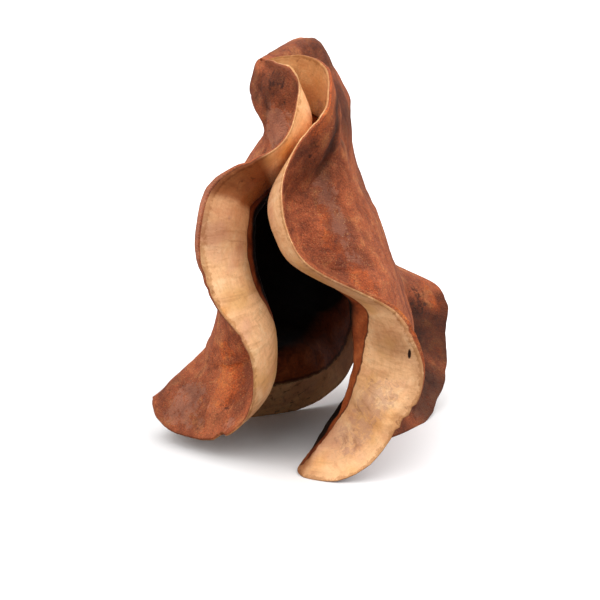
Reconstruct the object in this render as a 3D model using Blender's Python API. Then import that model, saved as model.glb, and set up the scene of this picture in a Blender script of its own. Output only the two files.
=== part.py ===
"""Dried jacaranda pod: two wavy woody valves, joined at the stem end and gaping below.

The pod stands on the lobes of its two valves with its joint on top, as it lies unheld on a
table. +Z is up, the gape's front faces -Y, and the left valve is on the -X side. Its origin
is on the table, under the middle of its box. Shapes are worked out in millimetres.
"""

import bmesh
import bpy
import numpy as np

MM = 0.001

# Each valve is a shallow bowl with a wide margin round it. Its stations go round the pod's
# middle by turn, in degrees: 0 is the front, 90 the top, 180 the back and -90 the bottom.
MIDDLE_Y = 24.0
MIDDLE_Z = 26.0
ORIGIN_X = 0.47          # the box's middle, from which the shape's own x and y are counted
ORIGIN_Y = 24.9
MARGIN = 10.0            # width of the margin, from the bowl's crest to the rim
STATION_STEP = 4.0       # degrees of turn between the solid's stations

# Columns: turn (degrees), reach of the bowl's crest from the middle, its place aside along X,
# flare of the margin away from the other valve (degrees), and how far the margin's middle
# bows towards the other valve.
LEFT_MARGIN = [
    (95, 18.5, -3.5, -10, 0.0), (79, 17.9, -3.7, 2, 0.0), (70, 18.5, -3.1, -7, -0.6),
    (62, 18.9, -2.5, -12, 1.6), (55, 18.2, -2.2, -9, 2.0), (49, 17.5, -2.8, -7, 0.8),
    (44, 16.6, -4.0, -1, 0.3), (39, 16.3, -4.9, 13, 0.6), (33, 16.4, -5.8, 29, 1.2),
    (24, 16.6, -6.3, 39, 1.5), (10, 15.6, -6.3, 40, 1.5), (-4, 14.8, -5.5, 30, 1.5),
    (-16, 14.0, -4.8, 14, 1.5), (-28, 14.5, -4.4, 10, 1.5), (-40, 15.0, -4.3, 13, 1.5),
    (-52, 15.5, -5.3, 17, 1.5), (-62, 16.1, -8.6, 18, 0.8), (-72, 15.9, -11.5, 27, 0.3),
    (-82, 15.6, -12.5, 46, 0.2), (-90, 14.4, -12.4, 52, 0.2), (-98, 15.6, -11.5, 33, 0.4),
    (-105, 17.3, -7.5, 13, 1.0), (-112, 17.9, -2.8, -6, 1.2), (-122, 19.1, 0.3, -25, 1.2),
    (-134, 19.9, 1.5, -40, 1.2), (-150, 18.5, 2.0, -48, 1.2), (-164, 17.5, 0.5, -44, 1.2),
    (-177, 17.0, -2.5, -20, 1.5), (170, 17.0, -4.5, -3, 1.5), (156, 17.5, -4.0, -5, 1.0),
    (120, 19.0, -3.0, -25, 0.0),
]
RIGHT_MARGIN = [
    (95, 18.6, 3.0, -10, 0.0), (80, 18.6, -0.6, -5, 0.0), (76, 18.9, 1.5, -5, 0.0),
    (71, 19.1, 3.5, -3, 0.0), (65, 18.9, 4.3, -2, -0.5), (59, 18.4, 4.3, -2, -0.3),
    (54, 17.8, 3.1, 2, -0.2), (48, 17.0, 1.3, 0, 0.2), (42, 16.5, 0.0, -3, 1.1),
    (35, 16.0, -0.9, -5, 1.7), (26, 16.0, -0.9, -6, 2.0), (18, 15.6, 0.0, -6, 1.9),
    (10, 15.3, 1.2, 2, 1.8), (3, 14.8, 3.2, 22, 1.4), (-5, 15.3, 6.1, 38, 1.2),
    (-14, 16.8, 6.9, 50, 1.2), (-24, 17.9, 7.3, 59, 1.2), (-34, 19.1, 7.4, 54, 1.2),
    (-43, 20.0, 7.0, 30, 1.0), (-50, 22.4, 6.2, 6, 0.6), (-54, 23.4, 6.0, -27, 0.4),
    (-58, 22.5, 6.3, -38, 0.3), (-65, 18.9, 7.8, -32, 0.5), (-76, 16.7, 9.7, -10, 0.7),
    (-86, 16.8, 10.0, 17, 1.0), (-98, 17.7, 11.8, 30, 1.2), (-110, 18.2, 13.1, 38, 1.2),
    (-124, 18.5, 13.6, 47, 1.2), (-138, 18.4, 13.5, 49, 1.2), (-150, 18.2, 13.6, 50, 1.2),
    (-156, 17.8, 12.1, 45, 1.2), (-162, 17.0, 9.2, 28, 1.2), (-168, 16.7, 7.9, 17, 1.2),
    (-175, 16.6, 7.6, 12, 1.2), (172, 16.8, 6.8, 8, 1.2), (158, 17.5, 6.2, 3, 1.0),
    (120, 19.0, 6.0, -25, 0.0),
]

# Profile of each bowl's back: height above the table, place aside.
LEFT_BACK = [(0, -12.2), (8, -12.2), (15, -10.6), (22, -9.8), (30, -9.0), (36, -7.2),
             (42, -3.2), (48, -1.6), (55, -1.0)]
RIGHT_BACK = [(0, 17.5), (8, 16.5), (15, 14.7), (22, 12.4), (30, 9.6), (36, 7.1),
              (41, 6.2), (45, 6.7), (50, 3.8), (55, 1.9)]
LEFT_CROWN = (25.0, 24.0)    # y, z of the deepest point of the bowl
RIGHT_CROWN = (26.0, 24.0)

# Columns: turn, reach of the seam that joins the valves, its place aside, and the
# half widths of the joint's lump to the left and to the right.
SEAM = [
    (70, 26.8, -5.2, -0.2, 1.8), (84, 26.8, -5.0, 0.9, 2.6), (90, 27.3, -2.9, 2.0, 2.8),
    (96, 27.9, -1.0, 2.4, 2.6), (103, 28.5, 0.8, 2.8, 2.3), (112, 28.6, 1.4, 2.8, 2.4),
    (124, 28.4, 1.6, 2.9, 3.5), (134, 28.2, 1.8, 3.0, 4.2), (142, 27.5, 1.8, 2.2, 2.6),
    (152, 27.0, 1.5, 1.6, 1.6), (240, 27.0, 0.0, 1.0, 1.0), (330, 27.0, 0.0, 1.0, 1.0),
]
JOINT_START = 84.0       # turns between which the valves are one
JOINT_END = 140.0
RIM_FADE = 8.0           # turns over which the rims leave the seam
CREST_FADE = 20.0        # turns over which the crests do
LUMP_CREST_DROP = 4.0    # how far below the seam the lump's sides reach
LUMP_MARGIN_DROP = 1.0
LUMP_MARGIN_SHARE = 0.62

# The bowl from its crown to its crest: share of the way out, share of the way aside.
BOWL = [(0.0, 0.0), (0.30, 0.01), (0.56, 0.09), (0.79, 0.29), (0.94, 0.64)]
RINGS = np.array([0.0, 0.17, 0.33, 0.47, 0.58, 0.70, 0.85, 1.0])   # crown to rim
SOLID_RINGS = np.array([0.0, 0.12, 0.24, 0.35, 0.45, 0.53, 0.60, 0.67, 0.75, 0.84, 0.92, 1.0])
WALL_RINGS = [0.0, 0.60, 0.75, 1.0]
WALL = [2.0, 2.0, 1.7, 0.9]      # wall thickness at those rings

HUSK_COLOUR = (0.32, 0.10, 0.05, 1.0)
LINING_COLOUR = (0.78, 0.52, 0.26, 1.0)
LINING_RING = 0.62               # the pale lining of the margin starts here


def periodic_spline(turn, value):
    """Smooth curve through values round a full turn; returns a function of the turn."""
    order = np.argsort(turn)
    t = np.asarray(turn, float)[order]
    y = np.asarray(value, float)[order]
    count = len(t)
    gap = np.diff(np.append(t, t[0] + 360.0))
    slope = (np.roll(y, -1) - y) / gap
    system = np.zeros((count, count))
    for i in range(count):
        system[i, i - 1] += gap[i - 1]
        system[i, i] += 2 * (gap[i - 1] + gap[i])
        system[i, (i + 1) % count] += gap[i]
    bend = np.linalg.solve(system, 6 * (slope - np.roll(slope, 1)))

    def curve(at):
        at = (np.asarray(at, float) - t[0]) % 360.0 + t[0]
        i = np.clip(np.searchsorted(t, at, side="right") - 1, 0, count - 1)
        j = (i + 1) % count
        after = at - t[i]
        before = gap[i] - after
        cubic = (bend[i] * before**3 + bend[j] * after**3) / (6 * gap[i])
        line_start = (y[i] / gap[i] - bend[i] * gap[i] / 6) * before
        line_end = (y[j] / gap[i] - bend[j] * gap[i] / 6) * after
        return cubic + line_start + line_end

    return curve


def open_spline(knots, values, at):
    """Natural cubic spline through values at knots, evaluated at the places asked for."""
    knots = np.asarray(knots, float)
    values = np.asarray(values, float)
    count = len(knots)
    gap = np.diff(knots)
    system = np.eye(count)
    right = np.zeros((count, count))
    for i in range(1, count - 1):
        system[i, i - 1:i + 2] = gap[i - 1], 2 * (gap[i - 1] + gap[i]), gap[i]
        right[i, i - 1:i + 2] = 6 / gap[i - 1], -6 / gap[i - 1] - 6 / gap[i], 6 / gap[i]
    bend = np.tensordot(np.linalg.solve(system, right), values, axes=(1, 0))
    at = np.clip(np.asarray(at, float), knots[0], knots[-1])
    i = np.clip(np.searchsorted(knots, at, side="right") - 1, 0, count - 2)
    shape = at.shape + (1,) * (values.ndim - 1)
    after = (at - knots[i]).reshape(shape)
    span = gap[i].reshape(shape)
    before = span - after
    cubic = (bend[i] * before**3 + bend[i + 1] * after**3) / (6 * span)
    line_start = (values[i] / span - bend[i] * span / 6) * before
    line_end = (values[i + 1] / span - bend[i + 1] * span / 6) * after
    return cubic + line_start + line_end


def smooth_step(x):
    x = np.clip(x, 0.0, 1.0)
    return x * x * (3 - 2 * x)


def columns(table, turns):
    """The table's columns after the first, as smooth curves read at the turns."""
    table = np.array(table, float)
    return [periodic_spline(table[:, 0], table[:, i])(turns) for i in range(1, table.shape[1])]


def joint_share(turns, fade):
    """1 where the valves are one, falling to 0 where they part."""
    start = smooth_step((turns - JOINT_START + fade) / fade)
    end = smooth_step((JOINT_END + fade - turns) / fade)
    return (start * end)[:, None]


def valve_rings(side, turns):
    """Rings of the valve's middle surface, crown to rim: an array (ring, turn, xyz)."""
    reach, aside, flare, bow = columns(LEFT_MARGIN if side < 0 else RIGHT_MARGIN, turns)
    flare = np.radians(flare)[:, None]
    angle = np.radians(turns)
    outward = np.stack([0 * angle, -np.cos(angle), np.sin(angle)], axis=-1)
    sideways = np.array([1.0, 0.0, 0.0])
    middle = np.array([0.0, MIDDLE_Y, MIDDLE_Z])

    crest = middle + reach[:, None] * outward + aside[:, None] * sideways
    along = np.cos(flare) * outward + side * np.sin(flare) * sideways
    inward = np.sin(flare) * outward - side * np.cos(flare) * sideways
    rim = crest + MARGIN * along

    seam_reach, seam_aside, left_half, right_half = columns(SEAM, turns)
    half = (left_half if side < 0 else right_half)[:, None]
    seam = middle + seam_reach[:, None] * outward + seam_aside[:, None] * sideways
    lump_crest = seam - LUMP_CREST_DROP * outward + side * half * sideways
    lump_margin = seam - LUMP_MARGIN_DROP * outward + side * LUMP_MARGIN_SHARE * half * sideways
    crest += joint_share(turns, CREST_FADE) * (lump_crest - crest)
    rim += joint_share(turns, RIM_FADE) * (seam - rim)
    margin = 0.5 * (crest + rim) + bow[:, None] * inward
    margin += joint_share(turns, RIM_FADE) * (lump_margin - margin)

    crown = np.array([0.0, *(LEFT_CROWN if side < 0 else RIGHT_CROWN)])
    back_height, back_aside = np.array(LEFT_BACK if side < 0 else RIGHT_BACK, float).T
    rings = []
    for way_out, way_aside in BOWL:
        ring = crown + way_out * (crest - crown)
        back = open_spline(back_height, back_aside, ring[:, 2])
        ring[:, 0] = back + way_aside * (crest[:, 0] - back)
        rings.append(ring)
    return np.array(rings + [crest, margin, rim])


def valve_surface(side, turns, at_rings):
    return open_spline(RINGS, valve_rings(side, turns), at_rings)


def outward_normals(surface, side):
    """Unit normals of a valve's middle surface, on its husk side."""
    round_way = np.roll(surface, -1, axis=1) - np.roll(surface, 1, axis=1)
    across_way = np.gradient(surface, axis=0)
    normals = side * np.cross(round_way, across_way)
    normals /= np.maximum(np.linalg.norm(normals, axis=2, keepdims=True), 1e-9)
    pole = normals[1].mean(axis=0)
    normals[0] = pole / np.linalg.norm(pole)
    return normals


def pod_skins(turns, at_rings):
    """Outer and inner skins of both valves, with the rims made one along the joint."""
    joined = joint_share(turns, RIM_FADE)[:, 0] > 0.999
    half_wall = 0.5 * np.interp(at_rings, WALL_RINGS, WALL)[:, None, None]
    middles = {side: valve_surface(side, turns, at_rings) for side in (-1, 1)}
    normals = {side: outward_normals(middles[side], side) for side in (-1, 1)}
    ridge = normals[-1][-1, joined] + normals[1][-1, joined]
    ridge /= np.linalg.norm(ridge, axis=1, keepdims=True)
    for side in (-1, 1):
        normals[side][-1, joined] = ridge
    outer = {side: middles[side] + half_wall * normals[side] for side in (-1, 1)}
    inner = {side: middles[side] - half_wall * normals[side] for side in (-1, 1)}
    return outer, inner, joined


def pod_faces(rings, stations, joined):
    """Vertex indices of every face, and whether it is lining; skins share the joint's rim."""
    per_skin = rings * stations
    index = {}
    for number, key in enumerate([(-1, "outer"), (-1, "inner"), (1, "outer"), (1, "inner")]):
        grid = number * per_skin + np.arange(per_skin).reshape(rings, stations)
        grid[0] = grid[0, 0]
        index[key] = grid
    for skin in ("outer", "inner"):
        index[1, skin][-1, joined] = index[-1, skin][-1, joined]

    faces = []
    for (side, skin), grid in index.items():
        for ring in range(rings - 1):
            lined = skin == "inner" and SOLID_RINGS[ring] >= LINING_RING
            for station in range(stations):
                after = (station + 1) % stations
                corners = [grid[ring, station], grid[ring + 1, station],
                           grid[ring + 1, after], grid[ring, after]]
                faces.append((list(dict.fromkeys(corners)), lined))
    for side in (-1, 1):
        outer, inner = index[side, "outer"][-1], index[side, "inner"][-1]
        for station in range(stations):
            after = (station + 1) % stations
            if not (joined[station] and joined[after]):
                corners = [outer[station], outer[after], inner[after], inner[station]]
                faces.append((corners, False))
    return faces


def fill_bmesh(points, faces):
    """Closed body of the pod; faces turned outwards and cut into triangles."""
    body = bmesh.new()
    vertices = [body.verts.new(point) for point in points]
    for corners, lined in faces:
        face = body.faces.new([vertices[i] for i in corners])
        face.material_index = int(lined)
    loose = [vertex for vertex in body.verts if not vertex.link_faces]
    bmesh.ops.delete(body, geom=loose, context="VERTS")
    bmesh.ops.recalc_face_normals(body, faces=body.faces)
    bmesh.ops.triangulate(body, faces=body.faces)
    return body


def cut_feet(body):
    """Cut the lowest lobes flat on the table, which gives the pod real feet."""
    everything = body.verts[:] + body.edges[:] + body.faces[:]
    cut = bmesh.ops.bisect_plane(body, geom=everything, dist=1e-7, plane_co=(0, 0, 0),
                                 plane_no=(0, 0, 1), clear_inner=True)
    edges = [item for item in cut["geom_cut"] if isinstance(item, bmesh.types.BMEdge)]
    feet = bmesh.ops.holes_fill(body, edges=edges, sides=0)["faces"]
    bmesh.ops.recalc_face_normals(body, faces=body.faces)
    bmesh.ops.triangulate(body, faces=feet)


def plain_material(name, colour, roughness):
    material = bpy.data.materials.new(name)
    material.use_nodes = True
    shader = material.node_tree.nodes["Principled BSDF"]
    shader.inputs["Base Color"].default_value = colour
    shader.inputs["Roughness"].default_value = roughness
    shader.inputs["Metallic"].default_value = 0.0
    return material


def make_pod():
    turns = np.arange(-180.0, 180.0, STATION_STEP)
    outer, inner, joined = pod_skins(turns, SOLID_RINGS)
    points = np.concatenate([skin.reshape(-1, 3) for skin in
                             (outer[-1], inner[-1], outer[1], inner[1])])
    faces = pod_faces(len(SOLID_RINGS), len(turns), joined)
    box_middle = np.array([ORIGIN_X, ORIGIN_Y, 0.0])
    body = fill_bmesh((points - box_middle) * MM, faces)
    cut_feet(body)
    mesh = bpy.data.meshes.new("pod")
    body.to_mesh(mesh)
    body.free()
    mesh.shade_smooth()
    mesh.set_sharp_from_angle(angle=np.radians(50))
    mesh.materials.append(plain_material("husk", HUSK_COLOUR, 0.65))
    mesh.materials.append(plain_material("lining", LINING_COLOUR, 0.6))
    bpy.context.scene.collection.objects.link(bpy.data.objects.new("pod", mesh))


for old in list(bpy.data.objects):
    bpy.data.objects.remove(old, do_unlink=True)
make_pod()
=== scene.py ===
# %% [markdown]
# # A dried jacaranda pod
#
# The fruit of a jacaranda dries into a flat woody capsule that gapes like a clam. Each half is a
# shallow bowl with a wide wavy margin round it, red-brown outside and pale tan inside. The two
# halves stay joined at the stem end. This script makes the pod's fine surface round the plain
# solid that is packed, and gives it its husk, its lining and its worn rims.
#
# Shapes are worked out in millimetres, as whole numpy arrays, and turned into metres only where
# a mesh is filled. Run the cells from top to bottom.

import bmesh
import bpy
import numpy as np
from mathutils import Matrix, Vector


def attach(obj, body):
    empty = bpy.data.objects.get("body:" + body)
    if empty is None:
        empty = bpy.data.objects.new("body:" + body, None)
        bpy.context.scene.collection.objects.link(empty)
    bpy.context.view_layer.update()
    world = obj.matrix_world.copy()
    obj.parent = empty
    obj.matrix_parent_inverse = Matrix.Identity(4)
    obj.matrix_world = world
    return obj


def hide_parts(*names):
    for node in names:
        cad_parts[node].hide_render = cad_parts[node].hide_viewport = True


MM = 0.001

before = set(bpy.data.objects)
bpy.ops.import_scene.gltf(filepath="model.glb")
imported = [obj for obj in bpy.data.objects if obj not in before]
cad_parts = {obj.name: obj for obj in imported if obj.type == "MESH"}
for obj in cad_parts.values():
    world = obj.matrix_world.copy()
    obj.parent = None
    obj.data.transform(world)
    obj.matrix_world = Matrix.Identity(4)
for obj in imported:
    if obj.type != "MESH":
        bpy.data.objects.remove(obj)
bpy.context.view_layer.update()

# %% [markdown]
# ## The camera
#
# The photograph was taken with a long lens a little above the table: the far rim is hardly
# smaller than the near one. A real camera is placed by its distance and its height above level,
# so those are the two numbers kept here. The camera looks at a point low inside the pod, which
# leaves the same empty floor round it.

# %% The camera
LOOK_AT = Vector((-0.47, 0.1, 18.9)) * MM
CAMERA_DISTANCE = 350.0 * MM
CAMERA_HEIGHT_ANGLE = np.radians(15.0)
LENS = 153.3                       # millimetres, for a sensor 36 mm wide

away = Vector((0.0, -np.cos(CAMERA_HEIGHT_ANGLE), np.sin(CAMERA_HEIGHT_ANGLE)))


def put(name, data):
    """A new object in the scene, with the data that it shows."""
    thing = bpy.data.objects.new(name, data)
    bpy.context.scene.collection.objects.link(thing)
    return thing


camera = put("camera", bpy.data.cameras.new("camera"))
camera.data.lens = LENS
camera.data.sensor_width = 36.0
camera.data.clip_start = 0.01
camera.data.clip_end = 20.0
camera.location = LOOK_AT + CAMERA_DISTANCE * away
camera.rotation_euler = away.to_track_quat("Z", "Y").to_euler()
bpy.context.scene.camera = camera
print("camera at", [round(place / MM) for place in camera.location], "mm")

# %% [markdown]
# ## Floor and light
#
# A product photographer stands such a pod on white paper inside a tent of soft lamps, and lets
# the paper burn out to white except close under the pod. Here each lamp is a sun with a wide
# disc, which lights the whole floor evenly and still blurs every shadow: one overhead, a little
# behind the pod so that some shadow falls forward, and one from each side in front. A sky fills
# the rest. White paper would also throw much light up into the pod; in the photograph little of
# it comes back, so the paper counts as grey for bounced light and as white for the camera.

# %% Floor and light
FLOOR_HALF = 3.0                   # metres
FLOOR_PAINT = (0.93, 0.92, 0.92, 1.0)
FLOOR_BOUNCE = (0.22, 0.19, 0.18, 1.0)
SKY_STRENGTH = 0.50
SUN_DISC = np.radians(60.0)
SUNS = {"overhead light": ((-0.05, 0.36, 1.0), 1.1), "left light": ((-0.62, -0.72, 0.9), 1.85),
        "right light": ((0.75, -0.5, 0.85), 1.95)}      # where from, and how strong


def make_floor():
    """A flat square under the origin: matt white paper, grey for the light that bounces off it."""
    mesh = bpy.data.meshes.new("floor")
    corners = [(-FLOOR_HALF, -FLOOR_HALF, 0), (FLOOR_HALF, -FLOOR_HALF, 0),
               (FLOOR_HALF, FLOOR_HALF, 0), (-FLOOR_HALF, FLOOR_HALF, 0)]
    mesh.from_pydata(corners, [], [(0, 1, 2, 3)])
    paper = bpy.data.materials.new("paper")
    paper.use_nodes = True
    nodes, links = paper.node_tree.nodes, paper.node_tree.links
    shader = nodes["Principled BSDF"]
    shader.inputs["Roughness"].default_value = 0.9
    shader.inputs["Specular IOR Level"].default_value = 0.1
    ray = nodes.new("ShaderNodeLightPath")
    choice = nodes.new("ShaderNodeMix")
    choice.data_type = "RGBA"
    choice.inputs[6].default_value = FLOOR_BOUNCE
    choice.inputs[7].default_value = FLOOR_PAINT
    links.new(ray.outputs["Is Camera Ray"], choice.inputs[0])
    links.new(choice.outputs[2], shader.inputs["Base Color"])
    mesh.materials.append(paper)
    put("floor", mesh)


def make_sun(name, place, strength):
    """An even light from one side of the sky, softened by its wide disc."""
    sun = put(name, bpy.data.lights.new(name, "SUN"))
    sun.data.energy = strength
    sun.data.angle = SUN_DISC
    sun.location = place
    sun.rotation_euler = (Vector(place) - LOOK_AT).to_track_quat("Z", "Y").to_euler()


def make_sky():
    """An even white sky."""
    world = bpy.data.worlds.new("sky")
    world.use_nodes = True
    background = world.node_tree.nodes["Background"]
    background.inputs["Color"].default_value = (1.0, 1.0, 1.0, 1.0)
    background.inputs["Strength"].default_value = SKY_STRENGTH
    bpy.context.scene.world = world


make_floor()
make_sky()
for name, (place, strength) in SUNS.items():
    make_sun(name, place, strength)
bpy.context.scene.view_settings.view_transform = "Standard"
bpy.context.scene.view_settings.look = "None"
print("floor, sky and", len(SUNS), "lights")

# %% [markdown]
# ## The stations of the two valves
#
# A botanist would call the halves valves. Each one could be sculpted, but its waves are easier
# to keep in order as a table: the stations go round the pod's middle like the hours round a
# clock, and each says how far out the bowl's crest lies, how far aside, how the margin flares
# and how it bows. Turn 0 is the front, 90 the top, 180 the back and -90 the bottom. These are
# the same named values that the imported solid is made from, so the fine surface lies on it.

# %% Named values of the shape
LEFT, RIGHT = -1, 1      # the two valves, by the side of X that they lie on
MIDDLE_Y = 24.0
MIDDLE_Z = 26.0
ORIGIN_X = 0.47          # the box's middle, from which the shape's own x and y are counted
ORIGIN_Y = 24.9
MARGIN = 10.0            # width of the margin, from the bowl's crest to the rim

# Columns: turn (degrees), reach of the bowl's crest from the middle, its place aside along X,
# flare of the margin away from the other valve (degrees), and how far the margin's middle
# bows towards the other valve.
MARGINS = {LEFT: [
    (95, 18.5, -3.5, -10, 0), (79, 17.9, -3.7, 2, 0), (70, 18.5, -3.1, -7, -0.6),
    (62, 18.9, -2.5, -12, 1.6), (55, 18.2, -2.2, -9, 2), (49, 17.5, -2.8, -7, 0.8),
    (44, 16.6, -4, -1, 0.3), (39, 16.3, -4.9, 13, 0.6), (33, 16.4, -5.8, 29, 1.2),
    (24, 16.6, -6.3, 39, 1.5), (10, 15.6, -6.3, 40, 1.5), (-4, 14.8, -5.5, 30, 1.5),
    (-16, 14, -4.8, 14, 1.5), (-28, 14.5, -4.4, 10, 1.5), (-40, 15, -4.3, 13, 1.5),
    (-52, 15.5, -5.3, 17, 1.5), (-62, 16.1, -8.6, 18, 0.8), (-72, 15.9, -11.5, 27, 0.3),
    (-82, 15.6, -12.5, 46, 0.2), (-90, 14.4, -12.4, 52, 0.2), (-98, 15.6, -11.5, 33, 0.4),
    (-105, 17.3, -7.5, 13, 1), (-112, 17.9, -2.8, -6, 1.2), (-122, 19.1, 0.3, -25, 1.2),
    (-134, 19.9, 1.5, -40, 1.2), (-150, 18.5, 2, -48, 1.2), (-164, 17.5, 0.5, -44, 1.2),
    (-177, 17, -2.5, -20, 1.5), (170, 17, -4.5, -3, 1.5), (156, 17.5, -4, -5, 1),
    (120, 19, -3, -25, 0)
], RIGHT: [
    (95, 18.6, 3, -10, 0), (80, 18.6, -0.6, -5, 0), (76, 18.9, 1.5, -5, 0),
    (71, 19.1, 3.5, -3, 0), (65, 18.9, 4.3, -2, -0.5), (59, 18.4, 4.3, -2, -0.3),
    (54, 17.8, 3.1, 2, -0.2), (48, 17, 1.3, 0, 0.2), (42, 16.5, 0, -3, 1.1),
    (35, 16, -0.9, -5, 1.7), (26, 16, -0.9, -6, 2), (18, 15.6, 0, -6, 1.9),
    (10, 15.3, 1.2, 2, 1.8), (3, 14.8, 3.2, 22, 1.4), (-5, 15.3, 6.1, 38, 1.2),
    (-14, 16.8, 6.9, 50, 1.2), (-24, 17.9, 7.3, 59, 1.2), (-34, 19.1, 7.4, 54, 1.2),
    (-43, 20, 7, 30, 1), (-50, 22.4, 6.2, 6, 0.6), (-54, 23.4, 6, -27, 0.4),
    (-58, 22.5, 6.3, -38, 0.3), (-65, 18.9, 7.8, -32, 0.5), (-76, 16.7, 9.7, -10, 0.7),
    (-86, 16.8, 10, 17, 1), (-98, 17.7, 11.8, 30, 1.2), (-110, 18.2, 13.1, 38, 1.2),
    (-124, 18.5, 13.6, 47, 1.2), (-138, 18.4, 13.5, 49, 1.2), (-150, 18.2, 13.6, 50, 1.2),
    (-156, 17.8, 12.1, 45, 1.2), (-162, 17, 9.2, 28, 1.2), (-168, 16.7, 7.9, 17, 1.2),
    (-175, 16.6, 7.6, 12, 1.2), (172, 16.8, 6.8, 8, 1.2), (158, 17.5, 6.2, 3, 1),
    (120, 19, 6, -25, 0)
]}

# Profile of each bowl's back: height above the table, place aside.
BACKS = {LEFT: [
    (0, -12.2), (8, -12.2), (15, -10.6), (22, -9.8), (30, -9), (36, -7.2), (42, -3.2), (48, -1.6),
    (55, -1)
], RIGHT: [
    (0, 17.5), (8, 16.5), (15, 14.7), (22, 12.4), (30, 9.6), (36, 7.1), (41, 6.2), (45, 6.7),
    (50, 3.8), (55, 1.9)
]}
CROWNS = {LEFT: (25.0, 24.0), RIGHT: (26.0, 24.0)}    # y, z of the deepest point of the bowl

# Columns: turn, reach of the seam that joins the valves, its place aside, and the
# half widths of the joint's lump to the left and to the right.
SEAM = [
    (70, 26.8, -5.2, -0.2, 1.8), (84, 26.8, -5, 0.9, 2.6), (90, 27.3, -2.9, 2, 2.8),
    (96, 27.9, -1, 2.4, 2.6), (103, 28.5, 0.8, 2.8, 2.3), (112, 28.6, 1.4, 2.8, 2.4),
    (124, 28.4, 1.6, 2.9, 3.5), (134, 28.2, 1.8, 3, 4.2), (142, 27.5, 1.8, 2.2, 2.6),
    (152, 27, 1.5, 1.6, 1.6), (240, 27, 0, 1, 1), (330, 27, 0, 1, 1)]
JOINT_START = 84.0       # turns between which the valves are one
JOINT_END = 140.0
RIM_FADE = 8.0           # turns over which the rims leave the seam
CREST_FADE = 20.0        # turns over which the crests do
LUMP_CREST_DROP = 4.0    # how far below the seam the lump's sides reach
LUMP_MARGIN_DROP = 1.0
LUMP_MARGIN_SHARE = 0.62

# The bowl from its crown to its crest: share of the way out, share of the way aside.
BOWL = [(0.0, 0.0), (0.30, 0.01), (0.56, 0.09), (0.79, 0.29), (0.94, 0.64)]
RINGS = np.array([0.0, 0.17, 0.33, 0.47, 0.58, 0.70, 0.85, 1.0])   # crown to rim
CREST_RING = 0.70
WALL_RINGS = [0.0, 0.60, 0.75, 1.0]
WALL = [2.0, 2.0, 1.7, 0.9]      # wall thickness at those rings
print("stations on the two valves:", [len(rows) for rows in MARGINS.values()])

# %% [markdown]
# ## Smooth curves through the stations
#
# The waves of a dried rim have no corners, so each column of the tables is read through a cubic
# spline: the curve that a thin springy strip takes when it is pinned at every station. Round
# the pod the strip closes on itself, and across a valve it ends free at the crown and the rim.

# %% Splines
def cubic_between(values, bends, span, before, after):
    """The curve between two knots, from the values and bends at both, their span, and the ways
    still before the second and already after the first."""
    cubic = (bends[0] * before**3 + bends[1] * after**3) / (6 * span)
    line_start = (values[0] / span - bends[0] * span / 6) * before
    line_end = (values[1] / span - bends[1] * span / 6) * after
    return cubic + line_start + line_end


def periodic_spline(turn, value, at):
    """Springy curve through values round a full turn: the bends at the knots solve one linear
    system that makes slopes agree, and between two knots the curve is a cubic."""
    order = np.argsort(turn)
    t, y = turn[order], value[order]
    count = len(t)
    gap = np.diff(np.append(t, t[0] + 360.0))
    slope = (np.roll(y, -1) - y) / gap
    system = np.zeros((count, count))
    for i in range(count):
        system[i, i - 1] += gap[i - 1]
        system[i, i] += 2 * (gap[i - 1] + gap[i])
        system[i, (i + 1) % count] += gap[i]
    bend = np.linalg.solve(system, 6 * (slope - np.roll(slope, 1)))
    at = (at - t[0]) % 360.0 + t[0]
    i = np.clip(np.searchsorted(t, at, side="right") - 1, 0, count - 1)
    j = (i + 1) % count
    after = at - t[i]
    return cubic_between((y[i], y[j]), (bend[i], bend[j]), gap[i], gap[i] - after, after)


def open_spline(knots, values, at):
    """The same springy curve with free ends; values may be whole rings of points."""
    count = len(knots)
    gap = np.diff(knots)
    system = np.eye(count)
    right = np.zeros((count, count))
    for i in range(1, count - 1):
        system[i, i - 1:i + 2] = gap[i - 1], 2 * (gap[i - 1] + gap[i]), gap[i]
        right[i, i - 1:i + 2] = 6 / gap[i - 1], -6 / gap[i - 1] - 6 / gap[i], 6 / gap[i]
    bend = np.tensordot(np.linalg.solve(system, right), values, axes=(1, 0))
    at = np.clip(at, knots[0], knots[-1])
    i = np.clip(np.searchsorted(knots, at, side="right") - 1, 0, count - 2)
    shape = at.shape + (1,) * (values.ndim - 1)
    after = (at - knots[i]).reshape(shape)
    span = gap[i].reshape(shape)
    return cubic_between((values[i], values[i + 1]), (bend[i], bend[i + 1]), span,
                         span - after, after)


def smooth_step(x):
    """0 below 0, 1 above 1, and an even S between: three x squared less two x cubed."""
    x = np.clip(x, 0.0, 1.0)
    return x * x * (3 - 2 * x)


def ramp(x, zero, one):
    """The S curve from 0 at one place to 1 at another."""
    return smooth_step((x - zero) / (one - zero))


def columns(table, turns):
    """The table's columns after the first, as smooth curves read at the turns."""
    table = np.array(table, float)
    return [periodic_spline(table[:, 0], column, turns) for column in table[:, 1:].T]


# %% [markdown]
# ## The middle surface of a valve
#
# The wood of a valve is thin, so it is laid out as one sheet first, the middle of the wall. The
# sheet has two parameters: the turn round the pod, and the way across from the bowl's crown (0)
# over its crest (0.70) to the rim (1). A turned bowl would be round, but the real one is
# pulled out of round by its waves, and rings of points follow that better than a lathe would.

# %% Rings of a valve
def joint_share(turns, fade):
    """1 where the valves are one, falling to 0 where they part."""
    start = smooth_step((turns - JOINT_START + fade) / fade)
    end = smooth_step((JOINT_END + fade - turns) / fade)
    return (start * end)[:, None]


def outward_of(turns):
    """Unit vectors from the pod's middle out to the stations, in the plane between the valves."""
    angle = np.radians(turns)
    return np.stack([0 * angle, -np.cos(angle), np.sin(angle)], axis=-1)


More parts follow.
